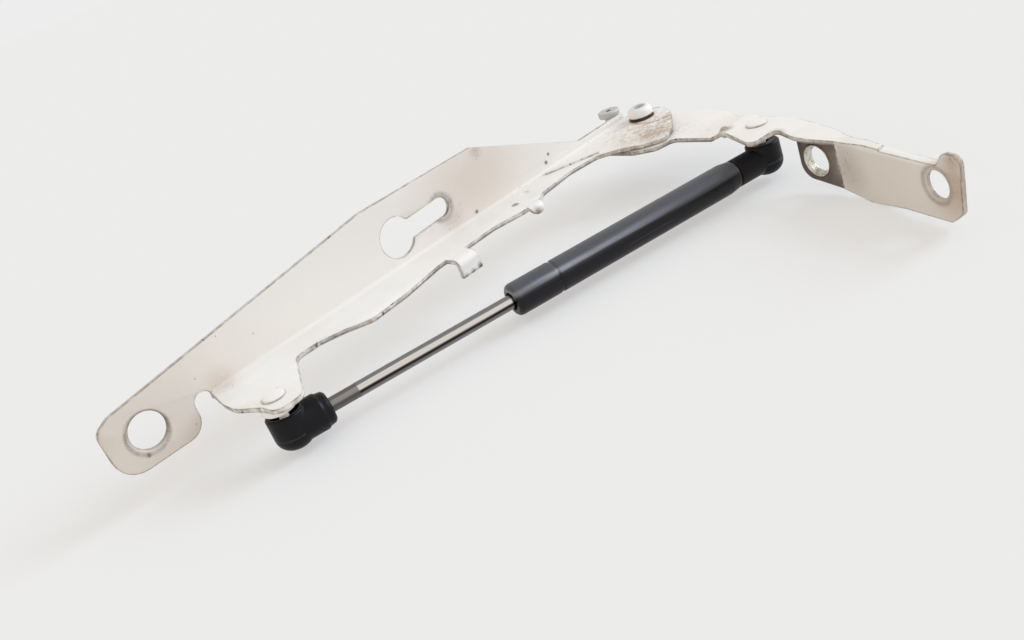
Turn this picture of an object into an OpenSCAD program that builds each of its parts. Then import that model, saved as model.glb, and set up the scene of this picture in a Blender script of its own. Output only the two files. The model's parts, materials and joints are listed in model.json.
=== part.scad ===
// Car bonnet hinge with gas strut, shown fully open.
// Two pressed steel sheets turn on one rivet, and a gas strut spans them between two ball studs.
// Millimetres. Origin in the body bracket's fixing hole, +Z along the pivot axis,
// +X along the arm's bend line towards the pivot, +Y away from the strut.

/* [Sheet] */
// Thickness of both pressed sheets
sheet_t = 2.5; // [2.2:0.1:3]
// Inside radius of the press bends
bend_r = 2; // [1.5:0.5:3]

/* [Hinge arm] */
// Distance from the pivot forward to the centre of the front hole
arm_len = 366.5; // [362:0.5:372]
// Front hole diameter
front_hole_d = 19.5; // [15:0.5:21]
// Height of the web above the flange where it is tallest
web_h = 40; // [38:1:46]
// Distance of the web's front face behind the pivot
web_y = 14; // [13:0.5:15]
// Diameter of the keyhole's round end
key_d = 24; // [20:0.5:25]
// Width of the keyhole's slot
key_slot_w = 12; // [9:0.5:13]
// Length of the keyhole between its end centres
key_len = 34; // [30:0.5:35]
// Radius of the lobes round the pivot
lobe_r = 17; // [16:0.5:18]
// Distance of the arm's ball stud behind the front hole
stud_behind = 46.9; // [45:0.2:49]

/* [Pivot] */
// Rivet shank diameter
rivet_d = 10; // [8:0.5:10]
// Rivet head diameter
rivet_head_d = 16.5; // [15.5:0.5:18]
// Wall of the flanged bush
bush_wall = 1.5; // [1:0.1:1.8]
// Running clearance of the moving fits
run_gap = 0.05; // [0.02:0.01:0.08]

/* [Body bracket] */
// Pivot distance across the bracket from the fixing hole
pivot_x = 64.7; // [63:0.1:66]
// Pivot distance along the bracket from the fixing hole
pivot_y = 234.5; // [231:0.5:238]
// Height of the flange top above the fixing hole
pivot_z = 13.5; // [12:0.5:14]
// Turn of the bolting wall away from the pivot's Y axis, degrees
wall_turn = 23.3; // [22:0.1:25]
// Fixing hole diameter
fix_hole_d = 14.5; // [10:0.5:16]
// Outer diameter of the fixing hole's pressed mouth
fix_mouth_d = 19.5; // [18:0.5:21]
// Bore of the weld nut in the folded tab
nut_bore_d = 15.5; // [11:0.5:16]

/* [Gas strut] */
// Tube length
tube_len = 154; // [148:1:158]
// Tube diameter
tube_d = 18.5; // [18:0.1:19.5]
// Tube wall
tube_wall = 1.3; // [1:0.1:1.6]
// Rod diameter
rod_d = 8; // [7:0.1:8.4]
// Ball diameter of both studs
ball_d = 8; // [7:0.1:8.2]
// Outer diameter of the rod-end socket
socket_d = 20.5; // [20:0.1:21.5]

/* [Hidden] */
$fn = 64;
eps = 0.01;
cut_l = 60;
seat_gap = 0.05;

// Heights in the pivot frame, whose zero is the top of the arm's flange
washer_t = 0.45;
bracket_top = -sheet_t - washer_t - run_gap;
ball_z = -20.2;

// Places in the pivot frame
arm_ball = [stud_behind - arm_len, -35.6];
bracket_ball = [-19, -105.5];
stop_place = [-4.4, 24.1];

// Points of an arc
function arc(c, r, a0, a1, n = 8) =
  [for (i = [0:n]) c + r * [cos(a0 + (a1 - a0) * i / n), sin(a0 + (a1 - a0) * i / n)]];

function unit(v) = v / norm(v);

// Outline with its corners rounded: each point is [x, y, radius]
function corner(a, b, c, n = 6) =
  let (p = [b[0], b[1]], u = unit([a[0], a[1]] - p), v = unit([c[0], c[1]] - p))
  let (half = acos(max(-1, min(1, u * v))) / 2, reach = b[2] / tan(half))
  b[2] == 0 ? [p] :
  let (m = p + unit(u + v) * b[2] / sin(half), s = p + u * reach - m, e = p + v * reach - m)
  let (a0 = atan2(s[1], s[0]), turn = atan2(s[0] * e[1] - s[1] * e[0], s * e))
  arc(m, b[2], a0, a0 + turn, n);

function rounded(pts) =
  let (k = len(pts))
  [for (i = [0:k - 1]) each corner(pts[(i + k - 1) % k], pts[i], pts[(i + 1) % k])];

// A point at an offset from a place, with its corner radius
function off(place, dx, dy, r) = [place[0] + dx, place[1] + dy, r];

// The pivot frame, and a place in it
module at_pivot() { translate([pivot_x, pivot_y, pivot_z]) children(); }

module at_place(place, z = 0) { translate([place[0], place[1], z]) children(); }

// Hole through the sheets along Z
module drill(place, d) { at_place(place, -cut_l / 2) cylinder(d = d, h = cut_l); }

// Upright section in Y and Z, run along X
module run_x(x0, x1) { translate([x0, 0, 0]) rotate([90, 0, 90]) linear_extrude(x1 - x0) children(); }

// Hinge arm: flange seen from above, with the ear at the front and the lobe at the pivot.
// What is near the front hole moves with it, and the near edge's wave spans the rest.
function wave(share, y, r) = [ear_end + share * (hook_start - ear_end), y, r];

notch_x = 35.5 - arm_len;
ear_out = 5;
lip_start = -45.6;
lip_end = -2;
lip_h = 5;
ear_end = arm_ball[0] + 43.6;
hook_start = -196;
web_back = web_y + sheet_t;
flange_outline = rounded([
  [notch_x, web_back, 0], [notch_x - 3.5, -8, 6], [notch_x - 3.7, -21, 8], off(arm_ball, -8.3, -2.5, 8),
  off(arm_ball, -7.6, -15.8, 7), off(arm_ball, 8, -16, 8), off(arm_ball, 28.6, 26.6, 6),
  [ear_end, -9.5, 8], wave(0.16, -15, 10), wave(0.32, -24, 8), wave(0.64, -21.5, 12),
  [hook_start, -14.5, 4], [-176, -14, 4], [-152, -13, 8],
  [-130, -18, 6], [-116, -17, 5], [-108, -11.5, 5], [-80, -7.5, 12], [-58, -11, 8], [-49, -22, 8],
  [-43, -37, 6], [-33, -48, 6], [-18, -41, 8], [10, -17, 8], [lobe_r - 1, -5, 0], [0, 0, 0],
  [-2, lobe_r - 0.1, 0], [-62, web_back, 0]
]);

// Web seen from the front, in X and Z: lobe, relief notch, long edge that tapers to a low lip at the pivot
lobe_front = -arm_len - 22;
lobe_low = -16;
web_corner_x = -127.5;
web_top_x = -213;
web_outline = rounded([
  [lobe_front, lobe_low, 13], [notch_x - 10.2, lobe_low, 10], [notch_x - 10.2, 3.2, 5],
  [notch_x + 0.2, 3.2, 5], [notch_x + 0.2, -sheet_t, 0], [lip_end, -sheet_t, 0], [lip_end, lip_h, 2],
  [lip_start, lip_h, 12], [web_corner_x, web_h - 1, 4], [web_top_x, web_h, 20],
  [lobe_front + 8.5, 18, 10], [lobe_front, 13.5, 6]
]);

front_hole = [-arm_len, 1.6];
front_dish = 0.8;
front_dish_w = 2.4;
key_place = [-196.5, 16];
key_rise = 1.5;

// Hook with a rolled end, and the shorter tab, both bent down from the flange's near edge
hook_x = [-190, -176];
hook_edge = -14;
hook_reach = 7;
hook_drop = 9.5;
tab_x = [-127, -117];
tab_edge = -17;
tab_drop = 6;
tab_r = 4.5;

// Section of a sheet that leaves an edge, bends and drops
function drop_section(edge, reach, drop) =
  let (c = [edge - reach, -bend_r - sheet_t], root = edge + 4)
  concat([[root, -sheet_t], [root, 0]],
         arc(c, bend_r + sheet_t, 90, 180), [[c[0] - bend_r - sheet_t, -drop], [c[0] - bend_r, -drop]],
         arc(c, bend_r, 180, 90));

// Stiffening bead towards the pivot, pressed boss on the lobe, small holes in the flange
bead_place = [-84, 10];
bead_turn = -31;
bead_len = 36;
bead_h = 1.6;
bead_r = (bead_h + sheet_t) / 2 - seat_gap;
boss_place = [-31, -23];
boss_h = 1.2;
locating_hole = [-124.5, -3.5];
locating_d = 4.5;
dimple_place = [-109, 4];

module arm_sheet() {
  bend = [web_y - bend_r, bend_r];
  run_x(notch_x - ear_out, lip_end) polygon(concat(
    [[-cut_l, -sheet_t]], arc(bend, bend_r + sheet_t, -90, 0), [[web_back, cut_l], [web_y, cut_l]],
    arc(bend, bend_r, 0, -90), [[-cut_l, 0]]));
  translate([lobe_front - 1, web_y, -cut_l]) cube([notch_x - lobe_front + 1, sheet_t, 2 * cut_l]);
  translate([lip_end - eps, -cut_l, -sheet_t]) cube([lobe_r - lip_end + 1, 2 * cut_l, sheet_t]);
}

module arm_outlines() {
  translate([0, 0, -sheet_t - 1]) linear_extrude(sheet_t + bend_r + 1) {
    polygon(flange_outline);
    circle(lobe_r);
  }
  translate([0, web_back + 1, 0]) rotate([90, 0, 0])
    linear_extrude(2 * sheet_t + bend_r) polygon(web_outline);
}

// Tongue bent down from the near edge, with a round end
module arm_tab() intersection() {
  run_x(tab_x[0], tab_x[1]) polygon(drop_section(tab_edge, 0, tab_drop));
  rotate([90, 0, 0]) linear_extrude(cut_l) polygon(rounded([
    [tab_x[0], 1, 0], [tab_x[0], -tab_drop, tab_r], [tab_x[1], -tab_drop, tab_r], [tab_x[1], 1, 0]
  ]));
}

// Hole along Y through the web
module web_cut(place, d) {
  translate([place[0], web_y - 5, place[1]]) rotate([-90, 0, 0]) cylinder(d = d, h = sheet_t + 10);
}

module hinge_arm() color([0.91, 0.90, 0.88]) at_pivot() difference() {
  union() {
    intersection() {
      arm_sheet();
      arm_outlines();
    }
    run_x(hook_x[0], hook_x[1]) polygon(drop_section(hook_edge, hook_reach, hook_drop));
    translate([hook_x[0], hook_edge - hook_reach - bend_r - sheet_t / 2, -hook_drop])
      rotate([0, 90, 0]) cylinder(r = sheet_t / 2 + 0.5, h = hook_x[1] - hook_x[0]);
    arm_tab();
    at_place(bead_place, bead_h - bead_r) rotate(bead_turn) rotate([0, 90, 0])
      cylinder(r = bead_r, h = bead_len);
    at_place(boss_place) cylinder(r1 = 12, r2 = 9, h = boss_h);
  }
  web_cut(front_hole, front_hole_d);
  translate([front_hole[0], web_y - eps, front_hole[1]]) rotate([-90, 0, 0])
    cylinder(d1 = front_hole_d + front_dish_w, d2 = front_hole_d - eps, h = front_dish);
  web_cut(key_place, key_d);
  web_cut(key_place + [key_len, key_rise], key_slot_w);
  translate([key_place[0], web_y - 5, key_place[1]]) rotate([0, -atan(key_rise / key_len), 0])
    translate([0, 0, -key_slot_w / 2]) cube([key_len, sheet_t + 10, key_slot_w]);
  drill(arm_ball, stud_shank_d + 2 * seat_gap);
  drill([0, 0], rivet_d + 2 * (bush_wall + run_gap));
  drill(locating_hole, locating_d);
  at_place(dimple_place, -0.8) cylinder(r1 = 2, r2 = 3.4, h = 1);
}

// Flanged bush pressed into the arm, turning on the rivet
bush_r = rivet_d / 2 + run_gap;
bush_flange_t = 0.5;

module pivot_bush() color([0.72, 0.55, 0.30]) at_pivot() rotate_extrude() polygon([
  [bush_r, -sheet_t], [bush_r + bush_wall, -sheet_t], [bush_r + bush_wall, 0], [rivet_head_d / 2 + 0.4, 0],
  [rivet_head_d / 2 + 0.4, bush_flange_t], [bush_r, bush_flange_t]
]);

// Ball stud: riveted end above the sheet, collar below it, then neck and ball
stud_shank_d = 8;
stud_neck_d = 5;
stud_collar_r = 9.2;
stud_collar_t = 4.5;

module ball_stud() {
  low = -sheet_t - stud_collar_t;
  rotate_extrude() polygon([
    [0, ball_z], [stud_neck_d / 2, ball_z], [stud_neck_d / 2, low], [stud_collar_r - 1.1, low],
    [stud_collar_r, low + 1.1], [stud_collar_r, -sheet_t], [stud_shank_d / 2, -sheet_t],
    [stud_shank_d / 2, 0], [6.2, 0], [6.2, 0.5], [5, 1.3], [0, 1.5]
  ]);
  translate([0, 0, ball_z]) sphere(d = ball_d);
}

module arm_ball_stud() color([0.90, 0.90, 0.87]) at_pivot() at_place(arm_ball) ball_stud();

module bracket_ball_stud() color([0.90, 0.90, 0.87]) at_pivot() at_place(bracket_ball) ball_stud();

// Bolting wall of the bracket: folded down at a corner, with a tab that turns a little less
wall_dir = [-sin(wall_turn), -cos(wall_turn)];
wall_in = [cos(wall_turn), -sin(wall_turn)];
wall_len = 91;
wall_flange_len = 76;
wall_flange_w = 5;
tab_turn = 13;
tab_dir = [-sin(tab_turn), -cos(tab_turn)];
tab_in = [cos(tab_turn), -sin(tab_turn)];
tab_len = 27;
fix_from_fold = 75.5;
fix_dish = 0.8;
fix_depth = (fix_dish + sheet_t) / 2;
fold_place = [-pivot_x, -pivot_y] - fix_from_fold * wall_dir - fix_depth * wall_in;

// Body bracket: plate seen from above, from the pivot lobe past the ear, by a strip that starts at the
// ear's crease, to the bolting wall, where it runs on as a narrow flange along the wall's top
crease_y = bracket_ball[1] - 17;
function strip_y(share) = crease_y + share * (fold_place[1] - crease_y);
function on_strip(share, dx, r) = [fold_place[0] + dx, strip_y(share), r];
function on_flange(along, inward, r) = off(fold_place + along * wall_dir + inward * wall_in, 0, 0, r);

plate_outline = rounded([
  [-46, 6, 8], [-47, -31, 8], [-41, -45, 5], [-29, -49, 5], [-29.5, -83, 4], [-30, -91, 4],
  off(bracket_ball, -26, -12.5, 4), off(bracket_ball, -23, -15.5, 2.5), off(bracket_ball, -8, -18.3, 3),
  on_strip(0.35, 3.85, 5), off(fold_place, 0, 0, 0), on_flange(wall_flange_len, 0, 0),
  on_flange(wall_flange_len, wall_flange_w, 3), on_flange(30, wall_flange_w, 20),
  off(fold_place, 3.35, -9.5, 10), on_strip(0.84, 14.85, 12), on_strip(0.46, 22.35, 12),
  off(bracket_ball, 8, -16.5, 10), off(bracket_ball, 12, 5.5, 15),
  [-1, -82, 12], [13, -56, 12], [15.5, -34, 8], [lobe_r - 2, -10, 0], [0, 0, 0], [-10, 12, 0]
]);

// Plate seen from the side, in Y and Z: low under the arm, joggled up at the ear, dipped into the wall
dip_z = -4;
flange_z = -2.2;
flange_step = 1;
step_at = 36;
step_y = fold_place[1] + step_at * wall_dir[1];
plate_line = [
  [50, bracket_top], [-79, bracket_top], [-87, 0], [crease_y, 0], [strip_y(0.56), dip_z + 0.5],
  [fold_place[1] - 3.5, dip_z], [fold_place[1] - 21.5, flange_z], [step_y, flange_z],
  [step_y - flange_step, flange_z - flange_step], [fold_place[1] - wall_len - 5, flange_z - flange_step]
];

// Bolting wall seen square on, in distance from the fold and Z, just under the flange but for its raised end
wall_top = flange_z - 0.3;
wall_peak = 3.6;
wall_outline = rounded([
  [-tab_len, dip_z, 2], [-tab_len - 0.5, -27, 9], [-16, -28.5, 6], [0, -31, 10], [23, -34, 12],
  [50, -31.5, 15], [80, -31, 6], [wall_len - 9, -31, 4], [wall_len - 1, -25, 5], [wall_len + 1, -8, 4],
  [wall_len + 2.5, wall_peak, 4.5], [wall_len - 9, wall_peak, 4],
  [wall_len - 14, wall_top - flange_step, 4], [step_at + 1, wall_top - flange_step, 0],
  [step_at - 1, wall_top, 0], [23, wall_top, 6], [2, dip_z - 0.5, 6]
]);

module wall_plan() {
  far = fold_place + (wall_len + 4) * wall_dir;
  tab_far = fold_place - (tab_len + 1) * tab_dir;
  polygon([
    tab_far, fold_place, far, far + sheet_t * wall_in, fold_place + sheet_t * (wall_in + tab_in) / 2,
    tab_far + sheet_t * tab_in
  ]);
}

// Puts children on the bolting wall: X along it from the fold, Y up, Z out of its front
module on_wall(turn) { at_place(fold_place) rotate(-90 - turn) rotate([90, 0, 0]) children(); }

// The fixing hole's place on the wall, and the weld nut's on the tab
module at_fixing(depth) { on_wall(wall_turn) translate([fix_from_fold, -pivot_z, -depth]) children(); }

nut_collar_d = nut_bore_d + 2.6;
nut_flange_d = nut_bore_d + 3.8;
nut_flange_t = 1.6;
nut_proud = 0.6;
nut_mouth_w = 1.8;
nut_mouth_t = 0.9;
nut_from_fold = 15;
nut_z = dip_z - sheet_t - nut_flange_d / 2 - 0.2;

module at_nut(depth) { on_wall(tab_turn) translate([-nut_from_fold, nut_z, -depth]) children(); }

stop_shank_d = 6;
stop_land_r = 9;
joggle_bump = [-24, -86, -2];

module bracket_plate() intersection() {
  run_x(-80, cut_l)
    polygon(concat(plate_line, [for (i = [len(plate_line) - 1:-1:0]) plate_line[i] - [0, sheet_t]]));
  translate([0, 0, -20]) linear_extrude(30) {
    polygon(plate_outline);
    circle(lobe_r);
    at_place(stop_place) circle(stop_land_r);
    polygon([
      [-lobe_r, 4], stop_place - [stop_land_r, 0], stop_place + [stop_land_r - 0.5, 3], [lobe_r - 1, 5]
    ]);
  }
}

module bolting_wall() intersection() {
  translate([0, 0, -cut_l]) linear_extrude(2 * cut_l) wall_plan();
  on_wall(wall_turn) translate([0, 0, -cut_l / 2]) linear_extrude(cut_l) polygon(wall_outline);
}

module body_bracket() color([0.78, 0.75, 0.71]) at_pivot() difference() {
  union() {
    bracket_plate();
    bolting_wall();
    translate(joggle_bump) sphere(r = 3.4);
  }
  at_fixing(cut_l / 2) cylinder(d = fix_hole_d, h = cut_l);
  at_fixing(fix_dish) cylinder(d1 = fix_hole_d - eps, d2 = fix_mouth_d, h = fix_dish + eps);
  at_nut(sheet_t + 1) cylinder(d = nut_collar_d + 2 * seat_gap, h = sheet_t + 2);
  drill([0, 0], rivet_d + 2 * seat_gap);
  drill(stop_place, stop_shank_d + 2 * seat_gap);
  drill(bracket_ball, stud_shank_d + 2 * seat_gap);
}

// Weld nut: collar in the tab's hole, round flange behind it
module weld_nut() color([0.80, 0.78, 0.72]) at_pivot() difference() {
  union() {
    at_nut(sheet_t + eps) cylinder(d = nut_collar_d, h = sheet_t + nut_proud + eps);
    at_nut(sheet_t + nut_flange_t) cylinder(d = nut_flange_d, h = nut_flange_t);
  }
  at_nut(cut_l / 2) cylinder(d = nut_bore_d, h = cut_l);
  at_nut(nut_mouth_t)
    cylinder(d1 = nut_bore_d - eps, d2 = nut_bore_d + nut_mouth_w, h = nut_mouth_t + nut_proud + eps);
}

// Pivot rivet: domed head with a dimple on top, shank, upset end under the bracket
rivet_washer_t = 1.5;
rivet_washer_z = bush_flange_t + run_gap;
rivet_head_z = rivet_washer_z + rivet_washer_t;
rivet_head_h = 6;

module pivot_rivet() color([0.93, 0.93, 0.90]) at_pivot() rotate_extrude() {
  r = rivet_d / 2;
  head = rivet_head_d / 2;
  low = bracket_top - sheet_t;
  top = rivet_head_z + rivet_head_h;
  polygon([
    [0, low - 3], [r + 1.5, low - 3], [r + 3, low - 1.5], [r + 3, low], [r, low], [r, rivet_head_z],
    [head, rivet_head_z], [head, top - 3.4], [head - 0.5, top - 1.8], [head - 1.6, top - 0.7],
    [head - 3.2, top], [head - 4, top], [head - 5, top - 1.2], [0, top - 1.4]
  ]);
}

// Washers under the rivet's head and between the two sheets
module rivet_washer() color([0.16, 0.12, 0.10]) at_pivot() translate([0, 0, rivet_washer_z]) difference() {
  cylinder(d = rivet_head_d - 1, h = rivet_washer_t);
  drill([0, 0], rivet_d + 2 * seat_gap);
}

module pivot_washer() color([0.25, 0.24, 0.22]) at_pivot() translate([0, 0, bracket_top]) difference() {
  cylinder(d = 2 * lobe_r - 3, h = washer_t);
  drill([0, 0], rivet_d + 2 * seat_gap);
}

// Stop pin: stands on the bracket behind the arm, with a drilled head
stop_top = 8.1;
stop_head_h = 4;
stop_head_r = 7.3;

module stop_pin() color([0.62, 0.62, 0.62]) at_pivot() at_place(stop_place) {
  low = bracket_top - sheet_t;
  r = stop_shank_d / 2;
  under = stop_top - stop_head_h;
  rotate_extrude() polygon([
    [0, low - 1.5], [r + 1, low - 1.5], [r + 1.5, low - 1], [r + 1.5, low], [r, low], [r, bracket_top],
    [r + 0.8, bracket_top], [r + 0.8, under], [stop_head_r - 0.6, under], [stop_head_r, under + 0.6],
    [stop_head_r, stop_top - 0.6], [stop_head_r - 0.6, stop_top], [2, stop_top], [2, stop_top - 2.5],
    [0, stop_top - 2.5]
  ]);
}

// The strut's frame: +X from the bracket's ball to the rod-end socket, which stands off its own ball
// by socket_shift, because the linkage carries it round that ball as the hinge closes
socket_shift = [1.98, 3.45];
ball_room = 4.35;
strut = arm_ball + socket_shift - bracket_ball;
strut_len = norm(strut);

module at_strut() { at_pivot() at_place(bracket_ball, ball_z) rotate(atan2(strut[1], strut[0])) children(); }

// A solid turned about the strut's X axis from a profile of [distance, radius] points
module turned(profile) { rotate([0, 90, 0]) rotate_extrude() polygon([for (p = profile) [p[1], p[0]]]); }

// Strut lengths, measured along it from the bracket's ball
tube_start = 24;
tube_shoulder = tube_start + 7;
tube_end = tube_start + tube_len;
tube_groove = tube_end - 28;
tube_lip = 1.5;
piston_x = tube_end - 38;
socket_mouth = strut_len - 21;
rod_step = strut_len - 16.5;
rod_tip = strut_len - 11;

tube_r = tube_d / 2;
tube_inner_r = tube_r - tube_wall;
end_neck_r = tube_r - 1;
end_stud_r = 4;
rod_r = rod_d / 2;
thread_r = 3;

// Gas strut tube: spun shut at the ball end, rolled in at the rod end, with one rolled groove
module strut_tube() color([0.13, 0.13, 0.15]) at_strut() turned([
  [tube_start, end_stud_r + seat_gap], [tube_start, end_neck_r - 0.8], [tube_start + 1, end_neck_r],
  [tube_shoulder - 1.5, tube_r - 0.3], [tube_shoulder + 1, tube_r],
  [tube_groove - 1.2, tube_r], [tube_groove - 0.4, tube_r - 0.7], [tube_groove + 0.4, tube_r - 0.7],
  [tube_groove + 1.2, tube_r], [tube_end - 2.6, tube_r], [tube_end - 1.2, tube_r - 0.4],
  [tube_end - 0.3, tube_r - 1.4], [tube_end, tube_r - 2.4], [tube_end, rod_r + 1.2],
  [tube_end - tube_lip, rod_r + 1.2], [tube_end - tube_lip, tube_inner_r], [tube_shoulder, tube_inner_r],
  [tube_shoulder, end_stud_r + seat_gap]
]);

// Stud closing the tube and carrying the socket
end_stud_start = tube_start - 12;
end_stud_head_t = 3;

module tube_end_stud() color([0.55, 0.55, 0.55]) at_strut() turned([
  [end_stud_start, 0], [end_stud_start, end_stud_r - 0.6], [end_stud_start + 0.6, end_stud_r],
  [tube_shoulder, end_stud_r], [tube_shoulder, tube_inner_r - 1],
  [tube_shoulder + end_stud_head_t, tube_inner_r - 1], [tube_shoulder + end_stud_head_t, 0]
]);

// Guide, seal and its support fill the tube's rod end, round the rod
guide_x = tube_end - 11.5;
seal_x = guide_x - 6;
support_x = tube_groove + 1.5;

module tube_ring(x0, x1, r, bore) { turned([[x0, bore], [x0, r], [x1, r], [x1, bore]]); }

module gland(x0, x1) { at_strut() tube_ring(x0, x1, tube_inner_r - seat_gap, rod_r + run_gap); }

module rod_guide() color([0.35, 0.35, 0.36]) gland(guide_x, tube_end - tube_lip);

module rod_seal() color([0.06, 0.06, 0.06]) gland(seal_x, guide_x);

module seal_support() color([0.80, 0.79, 0.74]) gland(support_x, seal_x);

// Socket cup: an upright cup with a rounded foot, open at the top
cup_foot_r = 7.5;

module socket_cup(r) {
  rotate_extrude() polygon(concat(
    [[0, -r]], arc([r - cup_foot_r, -r + cup_foot_r], cup_foot_r, -90, 0),
    [[r, r - 1.5], [r - 1.2, r - 0.3], [0, r - 0.3]]));
}

// Spring clip: a wire ring with a gap at the socket's shank, sprung into a groove round the cup
clip_wire_r = 0.6;
clip_sink = 0.5;
clip_z = -2;
groove_more = 2;
tube_cup_r = 9.9;
tube_clip_gap = 52;
rod_clip_gap = 64;

module socket_clip(r, gap, wire_r = clip_wire_r) {
  translate([0, 0, clip_z]) rotate(gap) rotate_extrude(angle = 360 - 2 * gap)
    translate([r - clip_sink, 0]) circle(wire_r, $fn = 16);
}

module clip_groove(r, gap) { socket_clip(r, gap - groove_more, clip_wire_r + seat_gap); }

module tube_end_socket() color([0.10, 0.10, 0.11]) at_strut() difference() {
  union() {
    socket_cup(tube_cup_r);
    turned([
      [0, 0], [0, end_neck_r], [tube_start - 0.8, end_neck_r], [tube_start, end_neck_r - 0.8], [tube_start, 0]
    ]);
  }
  translate([0, 0, -ball_d / 2 - 0.3]) cylinder(d = ball_d + 0.6, h = cut_l);
  tube_ring(end_stud_start - 0.5, cut_l, end_stud_r + seat_gap, 0);
  clip_groove(tube_cup_r, tube_clip_gap);
}

module tube_socket_clip() color([0.60, 0.60, 0.62]) at_strut() socket_clip(tube_cup_r, tube_clip_gap);

// Piston rod: threaded for the piston's nut at one end and for the socket at the other
rod_bare_l = 20;
piston_t = 8;
piston_nut_t = 4;
piston_nut_d = 10;
piston_seat_r = tube_inner_r - 0.35;
ring_groove = [2.5, 5.5];
ring_depth = 1.6;

module piston_rod() color([0.80, 0.81, 0.82]) at_strut() turned([
  [piston_x - 6, 0], [piston_x - 6, thread_r - 0.5], [piston_x - 5.5, thread_r],
  [piston_x + piston_t, thread_r], [piston_x + piston_t, rod_r], [rod_step - rod_bare_l, rod_r],
  [rod_step - rod_bare_l + 0.4, rod_r - 0.15], [rod_step, rod_r - 0.15], [rod_step, thread_r],
  [rod_tip - 0.6, thread_r], [rod_tip, thread_r - 0.6], [rod_tip, 0]
]);

module piston() color([0.50, 0.50, 0.52]) at_strut() turned([
  [piston_x, thread_r + seat_gap], [piston_x, piston_seat_r], [piston_x + ring_groove[0], piston_seat_r],
  [piston_x + ring_groove[0], piston_seat_r - ring_depth],
  [piston_x + ring_groove[1], piston_seat_r - ring_depth],
  [piston_x + ring_groove[1], piston_seat_r], [piston_x + piston_t, piston_seat_r],
  [piston_x + piston_t, thread_r + seat_gap]
]);

module piston_ring() color([0.08, 0.08, 0.08]) at_strut() tube_ring(
  piston_x + ring_groove[0], piston_x + ring_groove[1],
  tube_inner_r - run_gap, piston_seat_r - ring_depth + seat_gap);

module piston_nut() color([0.58, 0.58, 0.58]) at_strut() difference() {
  translate([piston_x - piston_nut_t, 0, 0]) rotate([0, 90, 0])
    cylinder(d = piston_nut_d, h = piston_nut_t, $fn = 6);
  tube_ring(piston_x - piston_nut_t - eps, piston_x + eps, thread_r + seat_gap, 0);
}

// Rod-end socket: its cup has room for the ball to shift
mouth_lip = 1.2;
mouth_l = 4;
mouth_shoulder = 5.5;

module rod_end_socket() color([0.10, 0.10, 0.11]) at_strut() difference() {
  r = socket_d / 2;
  union() {
    translate([strut_len, 0, 0]) socket_cup(r);
    turned([
      [strut_len, 0], [socket_mouth, 0], [socket_mouth, r - 2.85], [socket_mouth + mouth_lip, r - 1.65],
      [socket_mouth + mouth_l, r - 1.25], [socket_mouth + mouth_shoulder, r - 0.4], [strut_len, r - 0.4]
    ]);
  }
  translate([strut_len, 0, -ball_d / 2 - 0.5]) cylinder(r = ball_d / 2 + ball_room, h = cut_l);
  tube_ring(socket_mouth - 1, rod_step, rod_r + seat_gap, 0);
  tube_ring(rod_step - 1, rod_tip + 0.5, thread_r + seat_gap, 0);
  translate([strut_len, 0, 0]) rotate(180) clip_groove(r, rod_clip_gap);
}

module rod_socket_clip() color([0.60, 0.60, 0.62]) at_strut()
  translate([strut_len, 0, 0]) rotate(180) socket_clip(socket_d / 2, rod_clip_gap);

body_bracket();
weld_nut();
pivot_rivet();
pivot_washer();
rivet_washer();
stop_pin();
bracket_ball_stud();
hinge_arm();
pivot_bush();
arm_ball_stud();
strut_tube();
tube_end_stud();
rod_guide();
rod_seal();
seal_support();
tube_end_socket();
tube_socket_clip();
piston_rod();
piston();
piston_ring();
piston_nut();
rod_end_socket();
rod_socket_clip();
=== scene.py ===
import json
import math
import bmesh
import bpy
from mathutils import Matrix, Vector
from mathutils.bvhtree import BVHTree


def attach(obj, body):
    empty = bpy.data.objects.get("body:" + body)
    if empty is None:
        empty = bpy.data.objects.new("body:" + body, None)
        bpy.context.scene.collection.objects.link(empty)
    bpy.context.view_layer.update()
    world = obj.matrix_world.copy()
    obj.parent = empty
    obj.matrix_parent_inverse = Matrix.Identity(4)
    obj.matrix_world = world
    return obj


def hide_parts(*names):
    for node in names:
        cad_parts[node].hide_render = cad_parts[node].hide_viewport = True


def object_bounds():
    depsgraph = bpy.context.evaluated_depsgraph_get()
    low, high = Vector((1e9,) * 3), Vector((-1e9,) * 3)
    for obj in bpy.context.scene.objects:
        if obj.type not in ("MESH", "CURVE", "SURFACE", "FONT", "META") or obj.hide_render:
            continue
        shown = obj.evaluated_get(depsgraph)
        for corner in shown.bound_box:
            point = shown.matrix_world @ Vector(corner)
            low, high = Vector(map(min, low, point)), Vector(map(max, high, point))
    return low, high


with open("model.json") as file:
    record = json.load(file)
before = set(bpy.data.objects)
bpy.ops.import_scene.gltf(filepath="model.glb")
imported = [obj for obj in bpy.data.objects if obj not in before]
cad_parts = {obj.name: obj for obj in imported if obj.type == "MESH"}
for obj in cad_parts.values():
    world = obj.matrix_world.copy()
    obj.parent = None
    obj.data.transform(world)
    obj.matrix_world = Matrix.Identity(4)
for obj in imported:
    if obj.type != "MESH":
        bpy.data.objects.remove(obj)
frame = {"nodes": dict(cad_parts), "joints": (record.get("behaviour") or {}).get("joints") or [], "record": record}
cad_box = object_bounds()

# Body bracket: one sheet of 2.5 mm steel, blanked, joggled and folded down into the bolting wall that is
# screwed to the car's inner wing. It is sprayed in the body colour with the rest of the hinge, and the
# tab and the wall carry the brown film of years of road dirt.
MM = 0.001
SHEET = 2.5
JOIN = 0.005  # corners of loose triangles that are nearer than this are one corner
FLAT = math.radians(0.5)  # faces that meet at less than this are one flat face
pivot = Vector(frame["joints"][0]["pos_m"])


def place(x, y, z):
    """A point given in millimetres from the pivot, where its axis leaves the arm's flange."""
    return pivot + Vector((x, y, z)) * MM


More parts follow.
